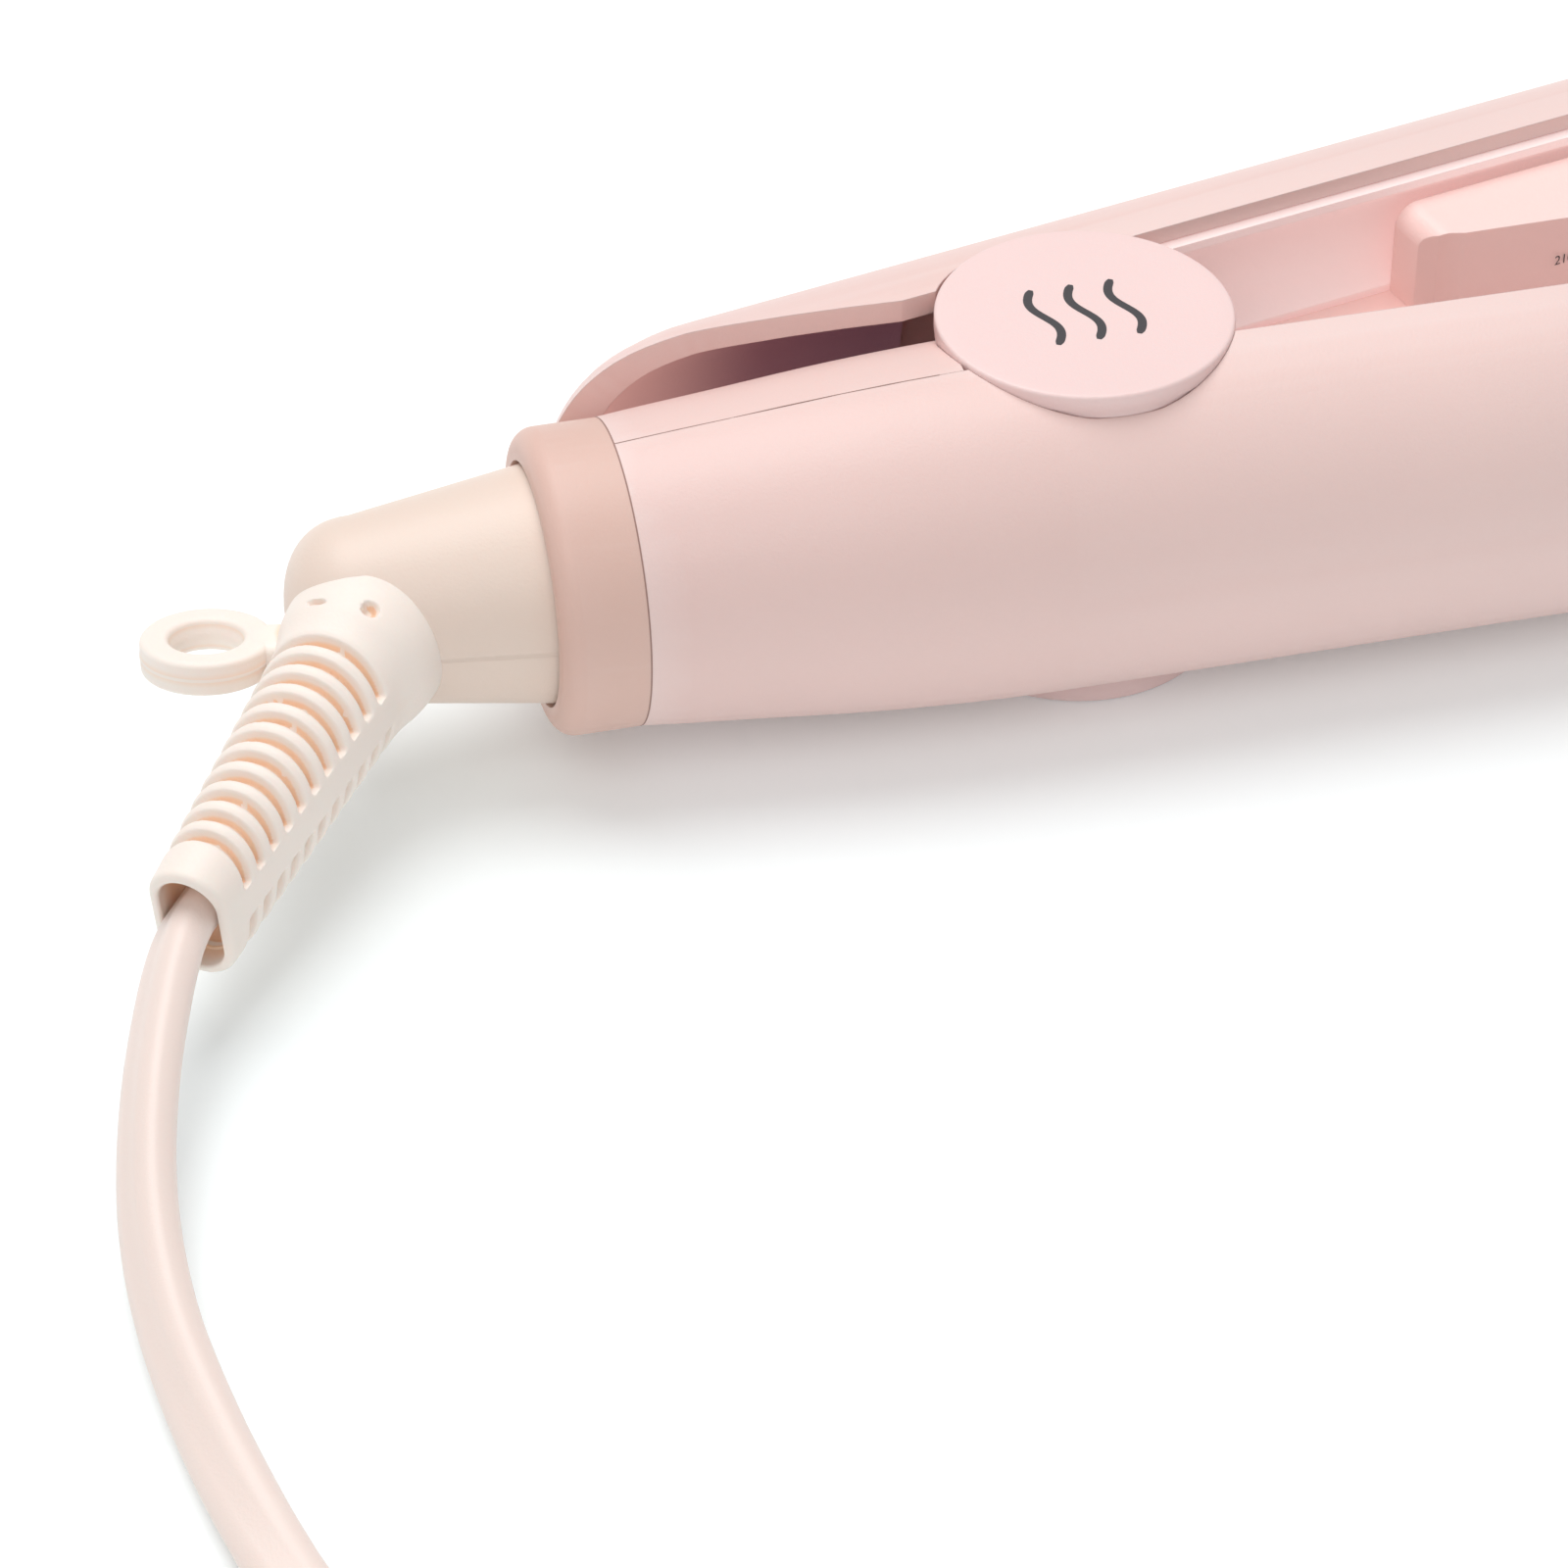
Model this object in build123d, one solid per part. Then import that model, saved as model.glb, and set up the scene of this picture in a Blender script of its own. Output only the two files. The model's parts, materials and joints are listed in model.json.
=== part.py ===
"""Hair straightener with a swivel cord, lying on its side.

Frame: the table is z = 0, and the hinge axis of the two arms is the Z axis. Arm A, the main arm with the
cord, runs along +X. Arm B is modelled closed, parallel to arm A, then turned open about the hinge.
All lengths are millimetres.
"""
from build123d import *
import math
import os

os.makedirs("parts", exist_ok=True)

# ---------------------------------------------------------------- driving dimensions
MID_Z = 22.5                    # height of both arms' axes above the table
BODY_R = 22.0                   # outer radius of each half-round arm
WALL = 2.2                      # wall of the arm shells
AXIS_A = -7.5                   # Y of arm A's own axis, and of its parting plane
AXIS_B = 12.5                   # Y of arm B's own axis, when closed
OPEN_ANGLE = 12.5               # degrees that arm B stands open at rest
FRONT_X = 190.0                 # front end of the arm shells
TIP_LENGTH = 9.0                # rounded tip beyond the shells
GAP = 0.4                       # clearance between parts that move past each other

COLLAR_X = -59.3                # front face of the collar at the cord end
COLLAR_LENGTH = 10.2
COLLAR_R = 18.5
REAR_COVER_END_X = -17.0

HUB_R = 14.4                    # swivel hub where it enters the collar
HUB_END_R = 11.2                # swivel hub before its rounded end
HUB_END_X = -99.0
HUB_WALL = 2.0
FLANGE_R = 16.0

DISC_R = 18.0                   # hinge discs
DISC_THICKNESS = 3.0
DISC_FIT = 0.05                 # round the discs on arm A, which carries them
DISC_CLEARANCE = 0.35           # under the discs on arm B, which turns past them
PIN_R = 3.0
BARREL_R = 7.5

NOSE_START_X = -38.0            # arm B's tail starts to round off here
NOSE_LENGTH = 24.5
NOSE_POWER = 2.6                # superellipse exponent of the tail's nose
TAIL_RIM_X = -18.0              # behind here the tail's rim falls back from arm A
TAIL_RIM_SLOPE = 0.272
TAIL_WALL = 3.0
TAIL_WALL_X = -8.0
TAIL_NOSE_WALL = 5.0            # thickness at the tip of the tail

PLATE_X0, PLATE_X1 = 100.0, 184.0
PLATE_HALF_WIDTH = 12.5
PLATE_THICKNESS = 2.6
PLATE_FACE = 0.25               # each plate's face from the closing plane
PLATE_TRAVEL = 1.0
BED_HALF_WIDTH = 14.0
BED_X0, BED_X1 = 96.0, 187.0
BED_BACK = 6.0                  # depth of the bed behind the parting plane
POCKET_DEPTH = 9.5              # floor of the plate's pocket from the closing plane
SCREW_X = (104.0, 180.0)
SCREW_LENGTH = 8.0
SCREW_R = 0.95

POD_X0, POD_X1 = 50.3, 94.0     # control pod on arm B's inner side
POD_HALF_HEIGHT = 17.0
POD_CORNER_R = 3.0
POD_BACK = 10.5
POD_FACE = -1.5
POD_RAMP_X = 69.0               # the pod's face rises from POD_X0 to here
TONGUE_X0 = 12.0                # narrow ridge from the pod towards the hinge
TONGUE_FACE = 4.0
TONGUE_HALF_HEIGHT = 4.5
BUTTON_R = 2.9
BUTTON_FLANGE = 0.5
BUTTON_X = {"minus_button": 73.4, "power_button": 80.5, "plus_button": 87.6}
BUTTON_TRAVEL = 0.6

BALL_CENTRE = Vector(-91.0, -14.0, 22.0)
BALL_R = 9.9
RELIEF_TIP = Vector(-118.0, -51.0, 15.0)
RELIEF_ROOT_SIZE = (17.0, 18.4)
RELIEF_TIP_SIZE = (9.8, 16.0)
RELIEF_RIBS = 11
RIBS_START = 10.5               # first groove from the ball's centre
RIBS_END_MARGIN = 4.8           # last groove from the relief's mouth
RING_CENTRE = Vector(-109.0, -10.6, 22.0)
RING_NORMAL = Vector(0.0463, 0.1851, 0.9816)
RING_R = 7.8
RING_HOLE_R = 4.4
RING_THICKNESS = 3.9

CORD_R = 3.2                    # plain tube that stands for the flat twin cord
CORD_WIDTH = 7.6                # the flat cord's width and thickness
CORD_THICKNESS = 5.2
COIL_CENTRE = Vector(-149.0, -206.0, 0)
COIL_R = 36.0                   # middle of the coil's turns
COIL_COLUMNS = 4
COIL_LAYERS = 2
COIL_PITCH = 7.8
COIL_LAYER_PITCH = 5.4
COIL_ENTRY_ANGLE = 22.0
COIL_EXIT_ANGLE = -100.0
COIL_ENTRY_LEAD = 28.0          # straight leads into and out of the coil
COIL_EXIT_LEAD = 32.0

AXIS_LINE_A = Axis((0, AXIS_A, MID_Z), (1, 0, 0))
HINGE = Axis((0, 0, 0), (0, 0, 1))
REVERSED_A = Axis((0, AXIS_A, MID_Z), (-1, 0, 0))
REVERSED_B = Axis((0, AXIS_B, MID_Z), (-1, 0, 0))


# ---------------------------------------------------------------- helpers
def save(name, pieces, opened=False):
    """Write one node from a shape or a list of like shapes; arm B's pieces are turned open first."""
    if not isinstance(pieces, list):
        pieces = [pieces]
    if opened:
        pieces = [piece.rotate(HINGE, OPEN_ANGLE) for piece in pieces]
    node = pieces[0] if len(pieces) == 1 else Compound(children=pieces)
    node.label = name
    export_step(node, f"parts/{name}.step")


def block(x0, x1, y0, y1, z0, z1):
    """An axis-aligned box from its two corners."""
    box = Box(x1 - x0, y1 - y0, z1 - z0)
    return Pos((x0 + x1) / 2, (y0 + y1) / 2, (z0 + z1) / 2) * box


def rod(x, y, z0, z1, radius):
    """An upright cylinder."""
    return Pos(x, y, (z0 + z1) / 2) * Cylinder(radius, z1 - z0)


def rod_y(x, z, y0, y1, radius):
    """A cylinder along Y."""
    return Pos(x, (y0 + y1) / 2, z) * Rot(X=90) * Cylinder(radius, abs(y1 - y0))


def rod_x(y, z, x0, x1, radius):
    """A cylinder along X."""
    return Pos((x0 + x1) / 2, y, z) * Rot(Y=90) * Cylinder(radius, x1 - x0)


def profile_face(edges, axis_y):
    """A face of revolution in the plane y = axis_y, drawn as (x, radius)."""
    plane = Plane(origin=(0, axis_y, MID_Z), x_dir=(1, 0, 0), z_dir=(0, -1, 0))
    return plane * make_face(edges)


def tube_outline(inset):
    """Radius of arm A's rear tube along X, as spline points, less a wall."""
    stations = [(COLLAR_X, COLLAR_R), (-45, 19.8), (-33, 20.9), (-20, 21.7), (-8, BODY_R)]
    return [(x, radius - inset) for x, radius in stations]


def rear_profile(x_end, wall):
    """Section of the tapered rear tube's wall from the collar to x_end."""
    outer = Spline(*tube_outline(0), tangents=[(1, 0.11), (1, 0)])
    inner = Spline(*tube_outline(wall), tangents=[(1, 0.11), (1, 0)])
    edges = [
        outer,
        inner,
        Line(outer @ 0, inner @ 0),
        Line(outer @ 1, inner @ 1),
    ]
    rear = make_face(edges)
    front = Pos((x_end - 8) / 2, BODY_R - wall / 2) * Rectangle(x_end + 8, wall)
    return rear + front if x_end > -8 else rear


def half_revolve(face, axis_y, near):
    """Revolve a profile half a turn, on the near (-Y) or the far (+Y) side."""
    plane = Plane(origin=(0, axis_y, MID_Z), x_dir=(1, 0, 0), z_dir=(0, -1, 0))
    direction = (1, 0, 0) if near else (-1, 0, 0)
    return revolve(plane * face, Axis((0, axis_y, MID_Z), direction), 180)


def nose_points(radius, length):
    """Superellipse from the tail's tip to its shoulder, as (x, radius) points."""
    points = []
    for step in range(9):
        angle = math.radians(90 * step / 8)
        along = length * math.cos(angle) ** (2 / NOSE_POWER)
        out = radius * math.sin(angle) ** (2 / NOSE_POWER)
        points.append((NOSE_START_X - along, out))
    return points


def screw_posts(axis_y, facing):
    """Two posts inside a shell, with pilot holes for the screws that hold the plate bed."""
    posts = Part()
    bed_back = axis_y - facing * BED_BACK
    for x in SCREW_X:
        y0, y1 = sorted((bed_back, axis_y - facing * (BODY_R - WALL / 2)))
        posts += rod_y(x, MID_Z, y0, y1, 3.0)
        y0, y1 = sorted((bed_back + facing, bed_back - facing * SCREW_LENGTH))
        posts -= rod_y(x, MID_Z, y0, y1, SCREW_R)
    return posts


def disc_pockets(radial, under):
    """Space above and below the arms that the two hinge discs lie in, with gaps round and under them."""
    top_z = 2 * MID_Z - DISC_THICKNESS - under
    radius = DISC_R + radial
    return rod(0, 0, top_z, top_z + 10, radius) + rod(0, 0, -5, 2 * MID_Z - top_z, radius)


# ---------------------------------------------------------------- arm A
def main_shell():
    """Near half of arm A, one moulding from the collar to the tip."""
    shell = half_revolve(rear_profile(FRONT_X, WALL), AXIS_A, near=True)
    return shell + screw_posts(AXIS_A, 1) - disc_pockets(DISC_FIT, DISC_FIT)


def rear_cover():
    """Far half of the rear tube, closed by a wall beside the hinge."""
    cover = half_revolve(rear_profile(REAR_COVER_END_X, WALL), AXIS_A, near=False)
    cover &= block(COLLAR_X - 1, REAR_COVER_END_X, AXIS_A, 40, -10, 60)
    end_wall = half_revolve(
        Pos(REAR_COVER_END_X - 1, BODY_R / 2 - 0.6) * Rectangle(2, BODY_R - 1.2), AXIS_A, near=False
    )
    return cover + end_wall - disc_pockets(DISC_FIT, DISC_FIT)


def end_collar():
    """Collar that holds the swivel hub: rounded rear edge, bore, flange space and spigot."""
    rear_x = COLLAR_X - COLLAR_LENGTH
    body = rod_x(AXIS_A, MID_Z, rear_x, COLLAR_X, COLLAR_R)
    rear_edge = body.edges().sort_by(Axis.X)[0]
    body = fillet(rear_edge, 2.6)
    spigot = rod_x(AXIS_A, MID_Z, COLLAR_X, COLLAR_X + 4, COLLAR_R - WALL - 0.1)
    bore = rod_x(AXIS_A, MID_Z, rear_x - 1, COLLAR_X + 5, HUB_R + GAP)
    flange_space = rod_x(AXIS_A, MID_Z, COLLAR_X - 5.2, COLLAR_X - 0.6, FLANGE_R + GAP)
    return body + spigot - bore - flange_space


def inner_cover(length_x, axis_y, facing):
    """Panel that closes an arm's half-round from the hinge to the plates.

    facing is +1 on arm A, whose panel looks to +Y, and -1 on arm B.
    """
    x0, x1 = length_x
    lip, groove_half = 1.5, 4.5
    outer_r = BODY_R - WALL - 0.1
    panel = rod_x(axis_y, MID_Z, x0, x1, outer_r)
    keep_y = sorted((axis_y - facing * 7.0, axis_y + facing * lip))
    panel &= block(x0, x1, keep_y[0], keep_y[1], -5, 50)
    trough_r, trough_depth = 9.0, 3.0
    for side in (-1, 1):
        centre_y = axis_y + facing * (lip - trough_depth + trough_r)
        panel -= rod_x(centre_y, MID_Z + side * 11.8, x0 - 1, x1 + 1, trough_r)
    hollow = rod_x(axis_y, MID_Z, x0 + 2, x1 - 2, outer_r - 2)
    back_y = sorted((axis_y - facing * 30, axis_y - facing * 4.6))
    panel -= hollow & block(x0, x1, back_y[0], back_y[1], -5, 50)
    return panel - (disc_pockets(DISC_FIT, DISC_FIT) if facing > 0 else disc_pockets(GAP, DISC_CLEARANCE))


def tip_cap(axis_y, near):
    """Rounded half-dome that closes the front of an arm."""
    edges = [
        Line((FRONT_X, 0), (FRONT_X, BODY_R)),
        ThreePointArc((FRONT_X, BODY_R), (FRONT_X + 0.72 * TIP_LENGTH, 0.72 * BODY_R), (FRONT_X + TIP_LENGTH, 0)),
        Line((FRONT_X + TIP_LENGTH, 0), (FRONT_X, 0)),
    ]
    dome = half_revolve(make_face(edges), axis_y, near)
    plug = half_revolve(
        Pos(FRONT_X - 1.5, (BODY_R - WALL - 0.1) / 2) * Rectangle(3, BODY_R - WALL - 0.1), axis_y, near
    )
    return dome + plug


def plate_bed(axis_y, facing):
    """Heat-proof frame that carries the floating plate."""
    back = axis_y - facing * BED_BACK
    front = -facing * (PLATE_FACE + PLATE_THICKNESS - 0.6)
    y0, y1 = sorted((back, front))
    z0, z1 = MID_Z - BED_HALF_WIDTH, MID_Z + BED_HALF_WIDTH
    bed = block(BED_X0, BED_X1, y0, y1, z0, z1)
    y0, y1 = sorted((back, axis_y))
    bed += rod_x(axis_y, MID_Z, BED_X0, BED_X1, BODY_R - WALL - 0.1) & block(BED_X0, BED_X1, y0, y1, -5, 50)
    y0, y1 = sorted((-facing * POCKET_DEPTH, facing * 5))
    half = PLATE_HALF_WIDTH + GAP
    bed -= block(PLATE_X0 - GAP, PLATE_X1 + GAP, y0, y1, MID_Z - half, MID_Z + half)
    for x in SCREW_X:
        bed -= rod_y(x, MID_Z, min(back, y0) - 1, max(back, y1) + 1, SCREW_R)
    return bed


def heated_plate(facing):
    """Floating plate with eased long edges."""
    y0, y1 = sorted((-facing * PLATE_FACE, -facing * (PLATE_FACE + PLATE_THICKNESS)))
    plate = block(PLATE_X0, PLATE_X1, y0, y1, MID_Z - PLATE_HALF_WIDTH, MID_Z + PLATE_HALF_WIDTH)
    face = plate.faces().sort_by(Axis.Y)[-1 if facing > 0 else 0]
    return fillet(face.edges().filter_by(Axis.X), 0.9)


def heater(facing):
    """Flat ceramic heater bonded to the back of its plate."""
    back = PLATE_FACE + PLATE_THICKNESS
    y0, y1 = sorted((-facing * back, -facing * (back + 2.2)))
    return block(PLATE_X0 + 10, PLATE_X1 - 10, y0, y1, MID_Z - 7, MID_Z + 7)


def float_pads(facing):
    """Four silicone pads that the plate is pressed onto."""
    near_y = PLATE_FACE + PLATE_THICKNESS + PLATE_TRAVEL + 0.2
    y0, y1 = sorted((-facing * near_y, -facing * POCKET_DEPTH))
    pads = []
    for x in (PLATE_X0 + 5, PLATE_X1 - 5):
        for side in (-1, 1):
            pads.append(rod_y(x, MID_Z + side * 8.5, y0, y1, 2.2))
    return pads


def bed_screws(axis_y, facing):
    """Two pan-head screws through the floor of the plate's pocket into the shell's posts."""
    floor_y = -facing * POCKET_DEPTH
    tip_y = axis_y - facing * (BED_BACK + SCREW_LENGTH - 1)
    screws = []
    for x in SCREW_X:
        y0, y1 = sorted((floor_y, tip_y))
        shank = rod_y(x, MID_Z, y0, y1, SCREW_R)
        y0, y1 = sorted((floor_y, floor_y + facing * 1.4))
        screws.append(shank + rod_y(x, MID_Z, y0, y1, 2.0))
    return screws


# ---------------------------------------------------------------- hinge
def hinge_disc(top):
    """Round disc that caps the hinge, with an eased rim and a boss round the pin."""
    z0 = 2 * MID_Z - DISC_THICKNESS if top else 0.0
    disc = rod(0, 0, z0, z0 + DISC_THICKNESS, DISC_R)
    outer_face = disc.faces().sort_by(Axis.Z)[-1 if top else 0]
    disc = fillet(outer_face.edges(), 0.7)
    inner_z = z0 if top else DISC_THICKNESS
    return disc - rod(0, 0, inner_z - 1.5, inner_z + 1.5, PIN_R)


def hinge_frame_a():
    """Middle knuckle of arm A with its web into the shell."""
    z0, z1 = MID_Z - 8.6, MID_Z + 8.6
    frame = rod(0, 0, z0, z1, BARREL_R) + block(-BARREL_R, BARREL_R, AXIS_A - BODY_R + WALL + 3.0, 0, z0, z1)
    frame -= rod(0, 0, z0 - 1, MID_Z - 1.0, BARREL_R - 1.6)
    return frame - rod(0, 0, MID_Z - 2, z1 + 1, PIN_R)


def hinge_frame_b():
    """Two ears of arm B with the back plate that joins them."""
    frame = Part()
    for side in (-1, 1):
        z0, z1 = sorted((MID_Z + side * 9.0, MID_Z + side * 18.6))
        frame += rod(0, 0, z0, z1, BARREL_R) + block(-BARREL_R, BARREL_R, 0, 20, z0, z1)
    frame += block(-BARREL_R, BARREL_R, 12.5, 20, MID_Z - 18.6, MID_Z + 18.6)
    limit = rod_x(AXIS_B, MID_Z, -20, 20, BODY_R - WALL - 0.2)
    frame &= limit + block(-20, 20, -20, AXIS_B, -5, 50)
    return frame - rod(0, 0, 0, 2 * MID_Z, PIN_R + 0.06)


def hinge_pin():
    """Pin through both discs and the three knuckles."""
    return rod(0, 0, DISC_THICKNESS - 1.5, 2 * MID_Z - DISC_THICKNESS + 1.5, PIN_R)


def hinge_spring():
    """Torsion spring round the pin, inside arm A's knuckle."""
    wire_r, mean_r, pitch = 0.6, 4.6, 1.5
    start_z = MID_Z - 8.0
    path = Pos(0, 0, start_z) * Helix(pitch=pitch, height=4 * pitch, radius=mean_r)
    section = Plane(origin=path @ 0, z_dir=path % 0) * Circle(wire_r)
    return sweep(section, path=path)


# ---------------------------------------------------------------- arm B
def arm_b_shell():
    """Far half of arm B: half-round shell that ends in a hollow, rounded tail."""
    outer = Spline(*nose_points(BODY_R, NOSE_LENGTH), tangents=[(0, 1), (1, 0)])
    inner = Spline(*nose_points(BODY_R - TAIL_WALL, NOSE_LENGTH - TAIL_NOSE_WALL), tangents=[(0, 1), (1, 0)])
    tail = make_face([outer, inner, Line(outer @ 0, inner @ 0), Line(outer @ 1, inner @ 1)])
    length = TAIL_WALL_X - NOSE_START_X
    tail += Pos(NOSE_START_X + length / 2, BODY_R - TAIL_WALL / 2) * Rectangle(length, TAIL_WALL)
    length = FRONT_X - TAIL_WALL_X
    tail += Pos(TAIL_WALL_X + length / 2, BODY_R - WALL / 2) * Rectangle(length, WALL)
    shell = half_revolve(tail, AXIS_B, near=False) + screw_posts(AXIS_B, -1)
    return shell - disc_pockets(GAP, DISC_CLEARANCE) - tail_clearance() - rim_cut()


def rim_cut():
    """Wedge that makes the tail's rim fall back from arm A towards the nose."""
    end_x = NOSE_START_X - NOSE_LENGTH - 10
    end_y = AXIS_B + TAIL_RIM_SLOPE * (TAIL_RIM_X - end_x)
    outline = [(TAIL_RIM_X, AXIS_B), (end_x, end_y), (end_x, -40), (TAIL_RIM_X, -40)]
    return Pos(0, 0, -10) * extrude(make_face(Polyline(*outline, close=True)), 70)


def tail_clearance():
    """Arm A's rear tube and collar, grown by a gap and seen from arm B when it stands open."""
    outline = Spline(*tube_outline(-GAP), tangents=[(1, 0.11), (1, 0)])
    edges = [
        outline,
        Line(outline @ 1, (0, BODY_R + GAP)),
        Line((0, BODY_R + GAP), (0, 0)),
        Line((0, 0), (COLLAR_X - 20, 0)),
        Line((COLLAR_X - 20, 0), (COLLAR_X - 20, COLLAR_R + GAP)),
        Line((COLLAR_X - 20, COLLAR_R + GAP), outline @ 0),
    ]
    solid = revolve(profile_face(edges, AXIS_A), AXIS_LINE_A, 360)
    return solid.rotate(HINGE, -OPEN_ANGLE) & block(-90, -20, -60, 60, -10, 60)


def control_pod():
    """Raised housing for the buttons: ramped near end, open back and a tongue towards the hinge."""
    outline = [
        (POD_X0, POD_BACK),
        (POD_X0, 5.0),
        (POD_X0 + 1.5, 2.8),
        (POD_X0 + 4.5, 1.4),
        (POD_X0 + 8.5, 0.6),
        (POD_RAMP_X, POD_FACE),
        (POD_X1 - 1.5, POD_FACE),
        (POD_X1, POD_FACE + 1.5),
        (POD_X1, POD_BACK),
    ]
    plan = make_face(Polyline(*outline, close=True))
    pod = Pos(0, 0, MID_Z - POD_HALF_HEIGHT) * extrude(plan, 2 * POD_HALF_HEIGHT)
    front = RectangleRounded(POD_X1 - POD_X0, 2 * POD_HALF_HEIGHT, POD_CORNER_R)
    pod &= Pos((POD_X0 + POD_X1) / 2, POD_BACK + 1, MID_Z) * Rot(X=90) * extrude(front, 20)
    pod -= block(POD_X0 + 6, POD_X1 - 6, POD_FACE + 5.6, POD_BACK + 1, MID_Z - 13, MID_Z + 13)
    pod -= block(POD_RAMP_X, POD_X1 - 2, POD_FACE + 1.8, POD_FACE + 5.7, MID_Z - 13, MID_Z + 13)
    for x in BUTTON_X.values():
        pod -= rod_y(x, MID_Z, POD_FACE - 1, POD_FACE + 3, BUTTON_R + 0.2)
    z0, z1 = MID_Z - TONGUE_HALF_HEIGHT, MID_Z + TONGUE_HALF_HEIGHT
    tongue = block(TONGUE_X0, POD_X0 + 1, TONGUE_FACE, POD_BACK, z0, z1)
    nearest = tongue.faces().sort_by(Axis.Y)[0]
    return pod + fillet(nearest.edges().filter_by(Axis.X), 0.8)


def push_button(x):
    """Round push button with a wider foot that keeps it in the pod."""
    cap = rod_y(x, MID_Z, POD_FACE - 0.9, POD_FACE + 2.2, BUTTON_R)
    front = cap.faces().sort_by(Axis.Y)[0]
    cap = fillet(front.edges(), 0.5)
    return cap + rod_y(x, MID_Z, POD_FACE + 2.2, POD_FACE + 3.2, BUTTON_R + BUTTON_FLANGE)


def indicator_lenses():
    """Row of small lenses beside the printed temperatures."""
    lenses = []
    for step in range(4):
        z = MID_Z + 9.0 - 6.0 * step
        lenses.append(rod_y(POD_RAMP_X + 1.4, z, POD_FACE - 0.15, POD_FACE, 0.7))
    return lenses


# ---------------------------------------------------------------- electrics
def circuit_board():
    """Main board in the rear tube."""
    return block(-50, -22, AXIS_A - 4.0, AXIS_A - 2.4, MID_Z - 13, MID_Z + 13)


def board_parts():
    """Power parts on the main board."""
    y0 = AXIS_A - 2.4
    parts = [
        block(-48, -40, y0, y0 + 5, MID_Z - 10, MID_Z - 2),
        rod_y(-33, MID_Z - 6, y0, y0 + 8, 3.2),
        block(-46, -30, y0, y0 + 3.5, MID_Z + 2, MID_Z + 11),
    ]
    return parts


def control_board():
    """Small board behind the buttons."""
    y0 = POD_FACE + 6.6
    return block(POD_RAMP_X + 1, POD_X1 - 7, y0, y0 + 1.2, MID_Z - 11, MID_Z + 11)


def thermal_fuse(facing):
    """Cut-out clipped behind the heater."""
    back = PLATE_FACE + PLATE_THICKNESS + 2.2
    return rod_x(-facing * (back + 1.3), MID_Z, 138, 150, 1.3)


# ---------------------------------------------------------------- swivel
def hub_half(upper):
    """Half of the swivel hub: flange inside the collar, cone, rounded end and ball socket."""
    flange_x0, flange_x1 = COLLAR_X - 4.6, COLLAR_X - 1.2
    cone_x = HUB_END_X + 9.0
    outer = [
        Line((flange_x1, HUB_R - HUB_WALL - 1), (flange_x1, FLANGE_R)),
        Line((flange_x1, FLANGE_R), (flange_x0, FLANGE_R)),
        Line((flange_x0, FLANGE_R), (flange_x0, HUB_R)),
        Line((flange_x0, HUB_R), (COLLAR_X - COLLAR_LENGTH, HUB_R)),
        Line((COLLAR_X - COLLAR_LENGTH, HUB_R), (cone_x, HUB_END_R)),
        ThreePointArc((cone_x, HUB_END_R), (HUB_END_X + 2.1, 6.6), (HUB_END_X, 0)),
        Line((HUB_END_X, 0), (HUB_END_X + HUB_WALL, 0)),
        Line((HUB_END_X + HUB_WALL, 0), (cone_x, HUB_END_R - HUB_WALL)),
        Line((cone_x, HUB_END_R - HUB_WALL), (COLLAR_X - COLLAR_LENGTH, HUB_R - HUB_WALL - 1)),
        Line((COLLAR_X - COLLAR_LENGTH, HUB_R - HUB_WALL - 1), (flange_x1, HUB_R - HUB_WALL - 1)),
    ]
    hub = revolve(profile_face(outer, AXIS_A), AXIS_LINE_A, 360)
    z0, z1 = (MID_Z, MID_Z + 30) if upper else (MID_Z - 30, MID_Z)
    half = hub & block(-120, 0, -60, 60, z0, z1)
    half -= Pos(*BALL_CENTRE) * Sphere(BALL_R)
    half -= relief_body(0.0)
    return half - ring_neck()


def relief_plane(distance):
    """Plane across the strain relief at a distance from the ball's centre."""
    direction = (RELIEF_TIP - BALL_CENTRE).normalized()
    return Plane(origin=BALL_CENTRE + direction * distance, x_dir=relief_side(), z_dir=direction)


def relief_side():
    """Horizontal direction across the strain relief."""
    direction = (RELIEF_TIP - BALL_CENTRE).normalized()
    return Vector(0, 0, 1).cross(direction).normalized()


def relief_body(inset):
    """Tapered body of the strain relief, less an inset all round."""
    length = (RELIEF_TIP - BALL_CENTRE).length
    sections = []
    for distance, (wide, tall) in ((2.0, RELIEF_ROOT_SIZE), (length, RELIEF_TIP_SIZE)):
        section = RectangleRounded(wide - 2 * inset, tall - 2 * inset, 0.45 * wide - 0.9 * inset)
        sections.append(relief_plane(distance) * section)
    return loft(sections)


def ring_plane(origin):
    """Plane of the hanging ring, with X pointing from the ball to the ring."""
    return Plane(origin=origin, x_dir=(RING_CENTRE - BALL_CENTRE).normalized(), z_dir=RING_NORMAL)


def ring_neck():
    """Short neck that joins the hanging ring to the ball."""
    along = (RING_CENTRE - BALL_CENTRE).normalized()
    return ring_plane(BALL_CENTRE + along * BALL_R) * Box(5.5, 7.0, RING_THICKNESS)


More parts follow.
